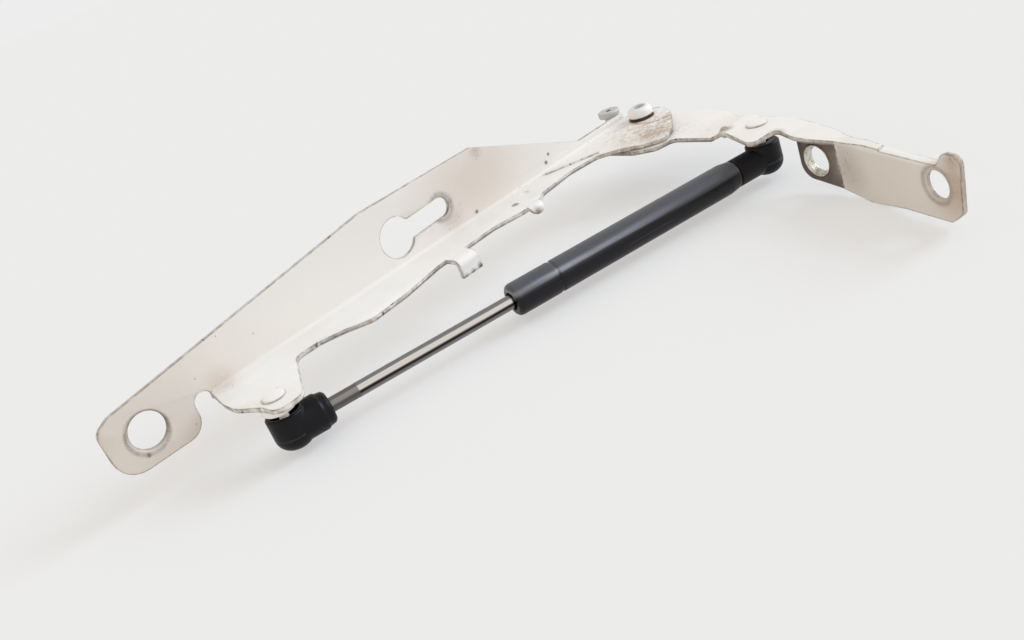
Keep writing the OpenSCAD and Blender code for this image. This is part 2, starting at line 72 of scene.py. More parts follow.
def ink(code):
    """An sRGB hex colour as the linear colour that a socket takes."""
    parts = [int(code[i:i + 2], 16) / 255 for i in (1, 3, 5)]
    return tuple(c / 12.92 if c <= 0.04045 else ((c + 0.055) / 1.055) ** 2.4 for c in parts) + (1.0,)


def put(tree, kind, inputs, **settings):
    """Adds one node with its settings, and links or sets its inputs.

    A colour Mix takes its factor at 0 and its two colours at 6 and 7, and gives its result at 2.
    """
    node = tree.nodes.new("ShaderNode" + kind)
    for name, value in settings.items():
        setattr(node, name, value)
    for name, value in inputs.items():
        if isinstance(value, bpy.types.NodeSocket):
            tree.links.new(value, node.inputs[name])
        else:
            node.inputs[name].default_value = value
    return node


def finish_named(name):
    """A new material with its tree, its shader's inputs and its Object coordinates."""
    material = bpy.data.materials.new(name)
    material.use_nodes = True
    tree = material.node_tree
    spot = put(tree, "TexCoord", {}).outputs["Object"]
    return material, tree, tree.nodes["Principled BSDF"].inputs, spot


def lay_on(tree, shader, colour, gloss, skin=None):
    """Links the colour, the roughness and the normal that were worked out to the shader."""
    tree.links.new(colour, shader["Base Color"])
    tree.links.new(gloss, shader["Roughness"])
    if skin is not None:
        tree.links.new(skin, shader["Normal"])


def in_scene(name, data):
    """A new object at the origin with this mesh, lamp or camera."""
    thing = bpy.data.objects.new(name, data)
    bpy.context.scene.collection.objects.link(thing)
    return thing


def piece_from(bm, name):
    """A new piece with the bmesh's faces."""
    mesh = bpy.data.meshes.new(name)
    bm.to_mesh(mesh)
    bm.free()
    return in_scene(name, mesh)


def copy_of(node):
    """A bmesh of the node's solid with its loose triangles joined."""
    bm = bmesh.new()
    bm.from_mesh(frame["nodes"][node].data)
    bmesh.ops.remove_doubles(bm, verts=bm.verts, dist=JOIN * MM)
    return bm


def stand_in(bm, node, name):
    """Turns a bmesh into the piece that stands for a CAD node, smooth apart from its sharp corners."""
    for face in bm.faces:
        face.smooth = True
    piece = piece_from(bm, name)
    piece.data.set_sharp_from_angle(angle=math.radians(40))
    piece.modifiers.new("even_shading", "WEIGHTED_NORMAL").keep_sharp = True
    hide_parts(node)
    return piece


def sheared(node, name):
    """The node's solid, a piece of sheet, with a face attribute that marks the rims where it was cut."""
    bm = copy_of(node)
    rim = bm.faces.layers.float.new("rim")
    # whole flat faces show which are rims: as narrow as the sheet is thick, and deep behind
    whole = bm.copy()
    bmesh.ops.dissolve_limit(whole, angle_limit=FLAT, verts=whole.verts, edges=whole.edges)
    whole.faces.index_update()
    solid = BVHTree.FromBMesh(whole)
    rims = []
    for face in whole.faces:
        inward = -face.normal
        start = face.calc_center_median() + inward * 0.05 * MM
        depth = solid.ray_cast(start, inward)[3]
        breadth = 2 * face.calc_area() / face.calc_perimeter()
        rims.append(bool(depth) and depth > 2 * SHEET * MM and breadth < 1.1 * SHEET * MM)
    for face in bm.faces:
        near = solid.find_nearest(face.calc_center_median())[2]
        face[rim] = 1.0 if rims[near] else 0.0
    whole.free()
    return stand_in(bm, node, name)


def near_corner(tree, radius):
    """A normal that rounds the corners off by radius millimetres, and a mask that is 1 on them.

    The mask starts where the rounded normal leans by 8 degrees, and is full where it leans by 28.
    """
    rounded = put(tree, "Bevel", {"Radius": radius * MM}, samples=8).outputs[0]
    facing = put(tree, "NewGeometry", {}).outputs["Normal"]
    same = put(tree, "VectorMath", {0: rounded, 1: facing}, operation="DOT_PRODUCT").outputs["Value"]
    mask = put(tree, "MapRange", {"Value": same, "From Min": 0.99, "From Max": 0.88}).outputs[0]
    return rounded, mask


# Sprayed body paint over pressed steel: a soft gloss with faint orange peel, dulled by a thin film, grey
# along the sheared rims where paint is thin, and chipped there to dark primer.
# Each mark on it has a centre, the radius of its ring or 0 for a blot, a width, a colour, a strength and
# how far it is broken up, from 0 for an even film to 1 for patches.
def body_paint(name, marks, film, dirt_and_shade_from=None):
    material, tree, shader, spot = finish_named(name)
    # 38 mm clouds dull the paint, 5 mm and 2 mm blotches break the dirt up, and 1.4 mm grain is the peel
    cloud = put(tree, "TexNoise", {"Vector": spot, "Scale": 1 / (38 * MM), "Detail": 4.0}).outputs["Fac"]
    blotch = put(tree, "TexNoise", {
        "Vector": spot, "Scale": 1 / (5 * MM), "Detail": 7.0, "Roughness": 0.62}).outputs["Fac"]
    fine = put(tree, "TexNoise", {"Vector": spot, "Scale": 1 / (2 * MM), "Detail": 6.0}).outputs["Fac"]
    grain = put(tree, "TexNoise", {"Vector": spot, "Scale": 1 / (1.4 * MM), "Detail": 3.0}).outputs["Fac"]
    dull = put(tree, "MapRange", {"Value": cloud, "From Min": 0.35, "From Max": 0.7}).outputs[0]
    colour = put(tree, "Mix", {0: dull, 6: ink("#F2F1F0"), 7: ink(film)}, data_type="RGBA").outputs[2]
    mottle = put(tree, "Math", {0: blotch, 1: fine}, operation="ADD").outputs[0]
    patch = put(tree, "MapRange", {"Value": mottle, "From Min": 0.86, "From Max": 1.16}).outputs[0]
    soil = 0.0
    if dirt_and_shade_from is not None:
        colour, soil = dirt_and_shade_from(tree, spot, cloud, patch, colour, soil)
    for centre, ring, width, tint, strength, broken in marks:
        away = put(tree, "VectorMath", {0: spot, 1: place(*centre)}, operation="DISTANCE").outputs["Value"]
        off = put(tree, "Math", {0: away, 1: ring * MM}, operation="SUBTRACT").outputs[0]
        near = put(tree, "Math", {0: off}, operation="ABSOLUTE").outputs[0]
        reach = put(tree, "MapRange", {
            "Value": near, "From Min": width * MM, "From Max": 0.0, "To Max": strength},
            interpolation_type="SMOOTHSTEP").outputs[0]
        hold = put(tree, "Math", {0: patch, 1: broken, 2: 1 - broken}, operation="MULTIPLY_ADD").outputs[0]
        mask = put(tree, "Math", {0: reach, 1: hold}, operation="MULTIPLY", use_clamp=True).outputs[0]
        colour = put(tree, "Mix", {0: mask, 6: colour, 7: ink(tint)}, data_type="RGBA").outputs[2]
        crust = put(tree, "Math", {0: mask, 1: broken}, operation="MULTIPLY").outputs[0]
        soil = put(tree, "Math", {0: soil, 1: crust}, operation="MAXIMUM").outputs[0]
    # specks of grit stuck in the film, about 0.7 mm wide, thick where the soil is
    speck = put(tree, "TexVoronoi", {"Vector": spot, "Scale": 1 / (1.5 * MM), "Randomness": 1.0})
    pick = put(tree, "SeparateColor", {0: speck.outputs["Color"]}).outputs[0]
    wanted = put(tree, "MapRange", {
        "Value": soil, "From Max": 0.6, "To Min": 0.998, "To Max": 0.5}).outputs[0]
    picked = put(tree, "Math", {0: pick, 1: wanted}, operation="GREATER_THAN").outputs[0]
    inside = put(tree, "MapRange", {
        "Value": speck.outputs["Distance"], "From Min": 0.3, "From Max": 0.16, "To Max": 0.75}).outputs[0]
    grit = put(tree, "Math", {0: picked, 1: inside}, operation="MULTIPLY").outputs[0]
    colour = put(tree, "Mix", {0: grit, 6: colour, 7: ink("#6B5745")}, data_type="RGBA").outputs[2]
    # thin paint on the rims, a darker line within 1.3 mm of the corners, and chips on both
    rounded, corner = near_corner(tree, 1.3)
    rim = put(tree, "Attribute", {}, attribute_name="rim").outputs["Fac"]
    thin = put(tree, "MapRange", {
        "Value": blotch, "From Min": 0.38, "From Max": 0.62, "To Min": 0.2, "To Max": 0.85}).outputs[0]
    for where, tint in ((rim, "#A79B90"), (corner, "#756B62")):
        share = put(tree, "Math", {0: where, 1: thin}, operation="MULTIPLY").outputs[0]
        colour = put(tree, "Mix", {0: share, 6: colour, 7: ink(tint)}, data_type="RGBA").outputs[2]
    bare = put(tree, "Math", {0: corner, 1: rim}, operation="MAXIMUM").outputs[0]
    chips = put(tree, "TexNoise", {"Vector": spot, "Scale": 1 / (4 * MM), "Detail": 3.0}).outputs["Fac"]
    chip = put(tree, "MapRange", {"Value": chips, "From Min": 0.64, "From Max": 0.69}).outputs[0]
    chipped = put(tree, "Math", {0: bare, 1: chip}, operation="MULTIPLY").outputs[0]
    colour = put(tree, "Mix", {0: chipped, 6: colour, 7: ink("#685C53")}, data_type="RGBA").outputs[2]
    # dirt is dull and stands up in lumps, and the chips lie below the paint
    rough = put(tree, "MapRange", {"Value": soil, "From Max": 0.8, "To Min": 0.36, "To Max": 0.8}).outputs[0]
    gloss = put(tree, "Math", {0: grain, 1: 0.16, 2: rough}, operation="MULTIPLY_ADD").outputs[0]
    lumps = put(tree, "Math", {0: soil, 1: blotch}, operation="MULTIPLY").outputs[0]
    raised = put(tree, "Math", {0: lumps, 1: 3.0, 2: grain}, operation="MULTIPLY_ADD").outputs[0]
    relief = put(tree, "Math", {0: raised, 1: chipped}, operation="SUBTRACT").outputs[0]
    skin = put(tree, "Bump", {
        "Height": relief, "Strength": 0.25, "Distance": 0.12 * MM, "Normal": rounded}).outputs[0]
    lay_on(tree, shader, colour, gloss, skin)
    return material


fold = place(-36.4, -164.5, 0)  # where the tab meets the wall
along_wall = Vector((-0.3955, -0.9184, 0))  # the way along the wall from there


def road_dirt(tree, spot, cloud, patch, colour, soil):
    """Dark brown on the tab up to its fold, and a thinner grey-brown film along the wall."""
    from_fold = put(tree, "VectorMath", {0: spot, 1: fold}, operation="SUBTRACT").outputs[0]
    along = put(tree, "VectorMath", {0: from_fold, 1: along_wall}, operation="DOT_PRODUCT").outputs["Value"]
    height = put(tree, "SeparateXYZ", {0: from_fold}).outputs["Z"]
    below = put(tree, "MapRange", {"Value": height, "From Min": -4.2 * MM, "From Max": -6 * MM}).outputs[0]
    ragged = put(tree, "Math", {0: patch, 1: 1.5 * MM, 2: along}, operation="MULTIPLY_ADD").outputs[0]
    tab = put(tree, "MapRange", {
        "Value": ragged, "From Min": 2.4 * MM, "From Max": 0.6 * MM, "To Max": 0.95}).outputs[0]
    tab = put(tree, "Math", {0: tab, 1: below}, operation="MULTIPLY").outputs[0]
    wall = put(tree, "MapRange", {
        "Value": along, "From Min": -1 * MM, "From Max": 3 * MM, "To Max": 0.85}).outputs[0]
    wall = put(tree, "Math", {0: wall, 1: below}, operation="MULTIPLY").outputs[0]
    brown = put(tree, "Mix", {0: patch, 6: ink("#3A2C24"), 7: ink("#563B2C")}, data_type="RGBA").outputs[2]
    grey = put(tree, "Mix", {0: cloud, 6: ink("#E3DDD5"), 7: ink("#DCD4CB")}, data_type="RGBA").outputs[2]
    colour = put(tree, "Mix", {0: wall, 6: colour, 7: grey}, data_type="RGBA").outputs[2]
    colour = put(tree, "Mix", {0: tab, 6: colour, 7: brown}, data_type="RGBA").outputs[2]
    caked = put(tree, "Math", {0: tab, 1: 0.3}, operation="MULTIPLY").outputs[0]
    return colour, put(tree, "Math", {0: soil, 1: caked}, operation="MAXIMUM").outputs[0]


bracket_paint = body_paint("sprayed_body_paint_on_bracket", [
    ((-18, -34, -4), 0, 30, "#C3B19C", 0.5, 0.7),  # spread from under the arm's lobe
    ((-24, -87, 0), 0, 7, "#8A755A", 0.95, 0.3),  # caught in the joggle
    ((-12, -68, -3), 0, 24, "#E0D8CD", 0.4, 0.6),  # film on the strip
    ((-30, -126, -2), 0, 7, "#93806D", 0.8, 0.2),  # beside the ear
    ((-70, -246, -12), 0, 28, "#B7A18A", 0.9, 0.1),  # brown at the wall's free end
    ((-66.2, -233.9, -13.5), 9.3, 2.2, "#9A938A", 0.75, 0.3),  # rubbed ring round the fixing hole
    ((-40, -172, -18), 0, 22, "#B3A99B", 0.65, 0.2),  # next to the fold
    ((-70, -246, 2), 0, 9, "#A58D76", 0.7, 0.4),  # the wall's top corner
], "#ECE9E4", road_dirt)
bracket = sheared("body_bracket", "bracket_sheet")
bracket.data.materials.append(bracket_paint)
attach(bracket, "bracket")


# Weld nut: turned steel, zinc plated, its collar set through the tab and its flange welded behind it.
# The thread is cut right through, and its bright crests show in the mouth. The plating is hazy, with
# tan stains.
def coat(node, material):
    """Gives a CAD node that keeps its own shape a better finish."""
    materials = frame["nodes"][node].data.materials
    materials.clear()
    materials.append(material)


nut_steel, tree, shader, spot = finish_named("zinc_plated_turned_steel")
haze = put(tree, "TexNoise", {"Vector": spot, "Scale": 1 / (3 * MM), "Detail": 5.0}).outputs["Fac"]
stain = put(tree, "MapRange", {"Value": haze, "From Min": 0.5, "From Max": 0.7}).outputs[0]
colour = put(tree, "Mix", {0: stain, 6: ink("#E4E2DB"), 7: ink("#AFA08D")}, data_type="RGBA").outputs[2]
gloss = put(tree, "MapRange", {"Value": haze, "To Min": 0.22, "To Max": 0.5}).outputs[0]
skin = put(tree, "Bump", {"Height": haze, "Strength": 0.2, "Distance": 0.1 * MM}).outputs[0]
lay_on(tree, shader, colour, gloss, skin)
shader["Metallic"].default_value = 0.8
coat("weld_nut", nut_steel)

# one crest of a 1.25 mm pitch thread, 0.4 mm high, swept round the bore and along it
bore = frame["record"]["mounts"][1]
bore_r = bore["dims"]["r_mm"] * MM
bore_out = Vector(bore["axis"]).normalized()
pitch = 1.25 * MM
turns = 1.75
steps = 64  # in one turn
bm = bmesh.new()
section = ((0.05, -0.5), (-0.4, 0), (0.05, 0.5))
crest = [bm.verts.new((bore_r + deep * MM, 0, along * MM)) for deep, along in section]
edges = [bm.edges.new(pair) for pair in zip(crest, crest[1:] + crest[:1])]
swept = bmesh.ops.spin(
    bm, geom=crest + edges, cent=(0, 0, 0), axis=(0, 0, 1), dvec=(0, 0, pitch / steps),
    angle=math.tau * turns, steps=int(steps * turns), use_duplicate=False)
bm.faces.new(crest)
bm.faces.new([v for v in swept["geom_last"] if isinstance(v, bmesh.types.BMVert)])
bmesh.ops.recalc_face_normals(bm, faces=bm.faces)
bmesh.ops.translate(bm, verts=bm.verts, vec=(0, 0, -pitch * turns / 2))
to_bore = Vector((0, 0, 1)).rotation_difference(bore_out).to_matrix().to_4x4()
bmesh.ops.transform(bm, verts=bm.verts, matrix=to_bore)
bmesh.ops.translate(bm, verts=bm.verts, vec=Vector(bore["pos_m"]))
thread = piece_from(bm, "nut_thread")
thread.data.materials.append(nut_steel)
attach(thread, "bracket")

# Stop pin: turned steel, riveted through the bracket behind the arm, with a drilled head that stops
# the arm a few degrees past fully open. Plated grey and dulled, with painted shade in the drilling.
pin_steel, tree, shader, spot = finish_named("zinc_plated_steel_dulled")
haze = put(tree, "TexNoise", {"Vector": spot, "Scale": 1 / (2.5 * MM), "Detail": 6.0}).outputs["Fac"]
colour = put(tree, "Mix", {0: haze, 6: ink("#AFAEAD"), 7: ink("#D6D5D3")}, data_type="RGBA").outputs[2]
drilling = place(-4.4, 24.1, 5.6)
# painted shade darkens the drilling and its rim
away = put(tree, "VectorMath", {0: spot, 1: drilling}, operation="DISTANCE").outputs["Value"]
drilling_shade = put(tree, "MapRange", {"Value": away, "From Min": 3.2 * MM, "From Max": 2.2 * MM}).outputs[0]
colour = put(tree, "Mix", {0: drilling_shade, 6: colour, 7: ink("#4D4B4A")}, data_type="RGBA").outputs[2]
gloss = put(tree, "MapRange", {"Value": haze, "To Min": 0.4, "To Max": 0.65}).outputs[0]
skin = put(tree, "Bump", {"Height": haze, "Strength": 0.3, "Distance": 0.1 * MM}).outputs[0]
lay_on(tree, shader, colour, gloss, skin)
shader["Metallic"].default_value = 0.4


def eased(node, name, edge, segments=2):
    """The node's solid with its sharp corners eased by edge millimetres, or as far as there is room."""
    bm = copy_of(node)
    bmesh.ops.dissolve_limit(bm, angle_limit=FLAT, verts=bm.verts, edges=bm.edges)
    least = math.radians(38)
    sharp = [e for e in bm.edges if len(e.link_faces) == 2 and e.calc_face_angle() > least]
    bmesh.ops.bevel(
        bm, geom=sharp, offset=edge * MM, offset_type="OFFSET", affect="EDGES", segments=segments,
        profile=0.5, clamp_overlap=True, material=-1)
    return stand_in(bm, node, name)


pin = eased("stop_pin", "stop_pin_body", 0.35)
pin.data.materials.append(pin_steel)
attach(pin, "bracket")

# Hinge arm: one sheet of 2.5 mm steel bent to an L. The web carries the bonnet's front hole and keyhole,
# the flange is pressed into an ear for the strut, a hook, a tab and the lobe round the pivot.
# The bolts have rubbed rings round the holes, and grease has gathered grit at the pivot.
WEB_Y = 13.9  # just in front of the web's inner face


def web_painted_shade(tree, spot, cloud, patch, colour, soil):
    """A grey painted shade on the web, browner at its front end and behind the keyhole."""
    side = put(tree, "SeparateXYZ", {0: spot}).outputs["Y"]
    bend_y = place(0, 12, 0).y
    on_web = put(tree, "MapRange", {
        "Value": side, "From Min": bend_y, "From Max": place(0, WEB_Y, 0).y, "To Max": 0.95}).outputs[0]
    film = ink("#E7E3DD")
    for centre, width, tint in (((-395, 14, -5), 130, "#CFC4B9"), ((-135, 14, 24), 62, "#DACFC5")):
        away = put(tree, "VectorMath", {0: spot, 1: place(*centre)}, operation="DISTANCE").outputs["Value"]
        share = put(tree, "MapRange", {
            "Value": away, "From Min": width * MM, "From Max": 0.0},
            interpolation_type="SMOOTHSTEP").outputs[0]
        film = put(tree, "Mix", {0: share, 6: film, 7: ink(tint)}, data_type="RGBA").outputs[2]
    return put(tree, "Mix", {0: on_web, 6: colour, 7: film}, data_type="RGBA").outputs[2], soil


# the web takes a grey painted shade that keeps it darker than the flange
arm_paint = body_paint("sprayed_body_paint_on_arm", [
    ((-16, -22, 0), 0, 50, "#BFAE9B", 0.85, 0.9),  # greasy grit round the pivot
    ((0, -26, 0), 0, 18, "#AB9783", 0.8, 0.75),  # thicker in front of the rivet
    ((4, -8, 0), 14.5, 3, "#8F7E6C", 0.75, 0.6),  # dark crescent beside the rivet's head
    ((-24, -33, 0), 0, 20, "#A38F7B", 0.9, 0.55),  # caked on the lobe's front corner
    ((-29, -34, 0), 0, 15, "#B3A18D", 0.5, 0.5),  # paler beyond it
    ((-367.4, 14, 0.6), 10.9, 1.9, "#8C857E", 0.9, 0.4),  # rubbed ring round the front hole
    ((-366.5, 14, 1.6), 9.8, 0.8, "#625B54", 0.8, 0.5),  # that hole's edge
    ((-368, 14, -6), 0, 14, "#C9BDB2", 0.6, 0.3),  # run down from it
    ((-162.5, 14, 17.4), 7.6, 3.0, "#A0978F", 0.9, 0.35),  # rubbed ring round the slot's end
    ((-162.5, 14, 17.4), 5.4, 0.9, "#7F766E", 0.9, 0.3),  # the slot's edge
    ((-158, 14, 8), 0, 13, "#BDB3A9", 0.6, 0.5),  # run down from it
    ((-325, 13, 0), 0, 14, "#C3B1A0", 0.6, 0.4),  # in the bend beside the ear
    ((-188.5, -26, -11), 0, 3.4, "#4A3D34", 1.0, 0.2),  # three dark spots along the hook's bare lip
    ((-183, -26, -10.8), 0, 3.4, "#4A3D34", 1.0, 0.2),
    ((-177, -26, -10), 0, 4.2, "#4A3D34", 1.0, 0.2),
    ((-123.5, -20.5, -4.8), 0, 5.5, "#937A69", 1.0, 0.2),  # painted shade under the round tab
    ((-125, 14, 36), 0, 7, "#B4ABA2", 0.7, 0.3),  # the web's top corner
    ((-73.7, 14, 9), 0, 1.6, "#231F1D", 1.0, 0.0),  # four dark specks
    ((-77.5, 14, 5), 0, 2.0, "#231F1D", 1.0, 0.0),
    ((-140, 14, 3), 0, 2.0, "#3B332E", 1.0, 0.2),
    ((-46.7, -30, 0), 0, 1.6, "#2A2421", 1.0, 0.0),
    ((-372.4, 14, -9.4), 0, 2.2, "#5F5852", 0.9, 0.6),  # chip in the front hole's ring
], "#EBE8E3", web_painted_shade)
arm = sheared("hinge_arm", "arm_sheet")
arm.data.materials.append(arm_paint)
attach(arm, "arm")

# Pivot: a flanged bronze bush pressed into the arm, turning on a steel rivet between two washers. The
# rivet's head was painted with the hinge, and its dimple is darkened grey by a painted shade.
rivet = eased("pivot_rivet", "rivet_body", 0.4, 3)
rivet.data.materials.append(body_paint("sprayed_body_paint_on_rivet", [
    ((0, 0, 4), 0, 26, "#ECEDF0", 0.9, 0.0),  # a cooler white over the whole head
    ((0, 0, 6.6), 0, 7.5, "#6A6866", 1.0, 0.1),  # painted shade in the dimple
], "#EFEDE9"))
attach(rivet, "bracket")

# sintered bronze: yellow brown, with dark pores full of oil
bronze, tree, shader, spot = finish_named("sintered_bronze_oiled")
pores = put(tree, "TexNoise", {"Vector": spot, "Scale": 1 / (0.6 * MM), "Detail": 4.0}).outputs["Fac"]
colour = put(tree, "Mix", {0: pores, 6: ink("#5E4424"), 7: ink("#B08A4C")}, data_type="RGBA").outputs[2]
gloss = put(tree, "MapRange", {"Value": pores, "To Min": 0.3, "To Max": 0.6}).outputs[0]
lay_on(tree, shader, colour, gloss)
shader["Metallic"].default_value = 1.0
coat("pivot_bush", bronze)

# oil-blacked steel: almost black, with dull brown rust in patches of 2 mm
blacked, tree, shader, spot = finish_named("oil_blacked_steel_rusted")
rust = put(tree, "TexNoise", {"Vector": spot, "Scale": 1 / (2 * MM), "Detail": 6.0}).outputs["Fac"]
rusty = put(tree, "MapRange", {"Value": rust, "From Min": 0.4, "From Max": 0.65}).outputs[0]
colour = put(tree, "Mix", {0: rusty, 6: ink("#2A2420"), 7: ink("#4E3C30")}, data_type="RGBA").outputs[2]
gloss = put(tree, "MapRange", {"Value": rust, "To Min": 0.35, "To Max": 0.8}).outputs[0]
skin = put(tree, "Bump", {"Height": rust, "Strength": 0.4, "Distance": 0.1 * MM}).outputs[0]
lay_on(tree, shader, colour, gloss, skin)
for node in ("rivet_washer", "pivot_washer"):
    coat(node, blacked)

# Ball studs: turned steel, riveted through the arm's ear and the bracket's ear before painting, so the
# collars are white and the balls below them are bare and greased.
BALL_Z = -20.2
for node, name, body, (x, y) in (
        ("arm_ball_stud", "arm_stud", "arm", (-319.6, -35.6)),
        ("bracket_ball_stud", "bracket_stud", "bracket", (-19, -105.5))):
    stud = eased(node, name, 0.35)
    stud.data.materials.append(body_paint("sprayed_body_paint_on_" + name, [
        ((x, y, BALL_Z), 0, 9, "#4B4540", 1.0, 0.2),  # the ball
        ((x, y, 0), 6.3, 0.9, "#9F968D", 0.8, 0.4),  # dirt round the riveted end
        ((x, y - 9, -6), 0, 5, "#C9BBA8", 0.6, 0.5),  # dirt on the collar's side
    ], "#EFEDE9"))
    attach(stud, body)

# Gas strut tube: drawn steel tube, spun shut at the ball end and rolled in over the guide at the rod end,
# with a rolled groove that holds the seal. Stoved black enamel, clean below, with a grey film on its upper
# half, dust and painted reflection, with a paler painted highlight along each side where the film ends.
TUBE_R = 9.25
DUST_SHEEN_FROM = 0.34  # in radii over the tube's middle, where the film of dust and painted reflection starts
DUST_SHEEN_TO = 0.68  # and where it is full
RAGGED = 0.22  # how far its edge strays, and the painted highlight line reaches to each side, in radii
strut_from = Vector(frame["joints"][1]["pos_m"])
strut_to_bracket = Vector(frame["joints"][2]["axis"])
strut_turn = math.atan2(-strut_to_bracket.y, -strut_to_bracket.x)


def along_strut(tree, spot, length, width):
    """Coordinates that run along the strut, with a pattern cell of length by width millimetres."""
    put_back = put(tree, "VectorMath", {0: spot, 1: strut_from}, operation="SUBTRACT").outputs[0]
    turned = put(tree, "VectorRotate", {"Vector": put_back, "Angle": -strut_turn},
                 rotation_type="Z_AXIS").outputs[0]
    cell = (1 / (length * MM), 1 / (width * MM), 1 / (width * MM))
    return put(tree, "VectorMath", {0: turned, 1: cell}, operation="MULTIPLY").outputs[0]


enamel, tree, shader, spot = finish_named("stoved_black_enamel_on_tube")
streak = put(tree, "TexNoise", {
    "Vector": along_strut(tree, spot, 60, 1.4), "Scale": 1.0, "Detail": 5.0}).outputs["Fac"]
highlight_breakup = put(tree, "TexNoise", {
    "Vector": along_strut(tree, spot, 45, 9), "Scale": 1.0, "Detail": 3.0}).outputs["Fac"]
peel = put(tree, "TexNoise", {"Vector": spot, "Scale": 1 / (1.1 * MM), "Detail": 2.0}).outputs["Fac"]
# the upper half is greyer, with dust and a painted reflection of the bright tent above it
height = put(tree, "SeparateXYZ", {0: along_strut(tree, spot, TUBE_R, TUBE_R)}).outputs["Z"]
uneven = put(tree, "Math", {0: streak, 1: RAGGED, 2: height}, operation="MULTIPLY_ADD").outputs[0]
dust_and_sheen = put(tree, "MapRange", {
    "Value": uneven, "From Min": DUST_SHEEN_FROM, "From Max": DUST_SHEEN_TO, "To Max": 0.9},
    interpolation_type="SMOOTHSTEP").outputs[0]
colour = put(tree, "Mix", {0: dust_and_sheen, 6: ink("#0A0B12"), 7: ink("#55575F")}, data_type="RGBA").outputs[2]
# the painted highlight line, in lengths of about 45 mm, which fades out towards the bracket's ball
off = put(tree, "Math", {0: uneven, 1: DUST_SHEEN_TO}, operation="SUBTRACT").outputs[0]
near = put(tree, "Math", {0: off}, operation="ABSOLUTE").outputs[0]
painted_highlight = put(tree, "MapRange", {
    "Value": near, "From Min": RAGGED, "From Max": 0.0}, interpolation_type="SMOOTHSTEP").outputs[0]
highlight_strength = put(tree, "MapRange", {
    "Value": highlight_breakup, "From Min": 0.38, "From Max": 0.62, "To Min": 0.3, "To Max": 0.95}).outputs[0]
painted_highlight = put(tree, "Math", {0: painted_highlight, 1: highlight_strength}, operation="MULTIPLY").outputs[0]
reached = put(tree, "SeparateXYZ", {0: along_strut(tree, spot, 1, 1)}).outputs["X"]
highlight_reach = put(tree, "MapRange", {"Value": reached, "From Min": 50.0, "From Max": 120.0}).outputs[0]
painted_highlight = put(tree, "Math", {0: painted_highlight, 1: highlight_reach}, operation="MULTIPLY").outputs[0]
colour = put(tree, "Mix", {0: painted_highlight, 6: colour, 7: ink("#9A9DA8")}, data_type="RGBA").outputs[2]
scuff = put(tree, "MapRange", {
    "Value": streak, "From Min": 0.62, "From Max": 0.78, "To Max": 0.3}).outputs[0]
colour = put(tree, "Mix", {0: scuff, 6: colour, 7: ink("#6A6D75")}, data_type="RGBA").outputs[2]
gloss = put(tree, "MapRange", {
    "Value": streak, "From Min": 0.3, "From Max": 0.7, "To Min": 0.26, "To Max": 0.42}).outputs[0]
skin = put(tree, "Bump", {"Height": peel, "Strength": 0.12, "Distance": 0.08 * MM}).outputs[0]
lay_on(tree, shader, colour, gloss, skin)
shader["Specular IOR Level"].default_value = 0.3
tube = eased("strut_tube", "strut_tube_body", 0.25)
tube.data.materials.append(enamel)
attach(tube, "cylinder")

# Piston rod: steel, ground and hard chromed, bare for its last stretch before the socket's thread. Bands
# round it are painted reflection: grey on the top edge, bright below it, dark under that, grey underneath.
ROD_R = 4.0
BARE_FROM = 270.5  # millimetres from the bracket's ball, where the chrome starts to end
BARE_TO = 271.2  # and where it is gone
chrome, tree, shader, spot = finish_named("hard_chromed_ground_steel")
band_waver = put(tree, "TexNoise", {
    "Vector": along_strut(tree, spot, 90, 0.9), "Scale": 1.0, "Detail": 4.0}).outputs["Fac"]
ground = put(tree, "TexNoise", {
    "Vector": along_strut(tree, spot, 0.35, 6), "Scale": 1.0, "Detail": 2.0}).outputs["Fac"]
height = put(tree, "SeparateXYZ", {0: along_strut(tree, spot, ROD_R, ROD_R)}).outputs["Z"]
uneven = put(tree, "Math", {0: band_waver, 1: 0.3, 2: height}, operation="MULTIPLY_ADD").outputs[0]
across = put(tree, "MapRange", {"Value": uneven, "From Min": -0.85, "From Max": 1.15}).outputs[0]
# the painted reflection bands from the underside, at 0, to the top, at 1
reflection_bands = put(tree, "ValToRGB", {"Fac": across})
stops = reflection_bands.color_ramp.elements
stops[0].color = ink("#98989A")
stops[1].color = ink("#848486")
for at, code in (
        (0.35, "#7C7877"), (0.47, "#2A2323"), (0.56, "#2C2525"),
        (0.66, "#D9DADC"), (0.86, "#F2F3F5"), (0.93, "#8C8C8E")):
    stops.new(at).color = ink(code)
colour = reflection_bands.outputs["Color"]
reached = put(tree, "SeparateXYZ", {0: along_strut(tree, spot, 1, 1)}).outputs["X"]
bare = put(tree, "MapRange", {
    "Value": reached, "From Min": BARE_FROM, "From Max": BARE_TO, "To Max": 0.75}).outputs[0]
colour = put(tree, "Mix", {0: bare, 6: colour, 7: ink("#6B6664")}, data_type="RGBA").outputs[2]
gloss = put(tree, "MapRange", {"Value": ground, "To Min": 0.1, "To Max": 0.24}).outputs[0]
gloss = put(tree, "Math", {0: bare, 1: 0.3, 2: gloss}, operation="MULTIPLY_ADD").outputs[0]
skin = put(tree, "Bump", {"Height": ground, "Strength": 0.05, "Distance": 0.05 * MM}).outputs[0]
lay_on(tree, shader, colour, gloss, skin)
shader["Metallic"].default_value = 1.0
rod = eased("piston_rod", "rod_body", 0.15)
rod.data.materials.append(chrome)
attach(rod, "rod")

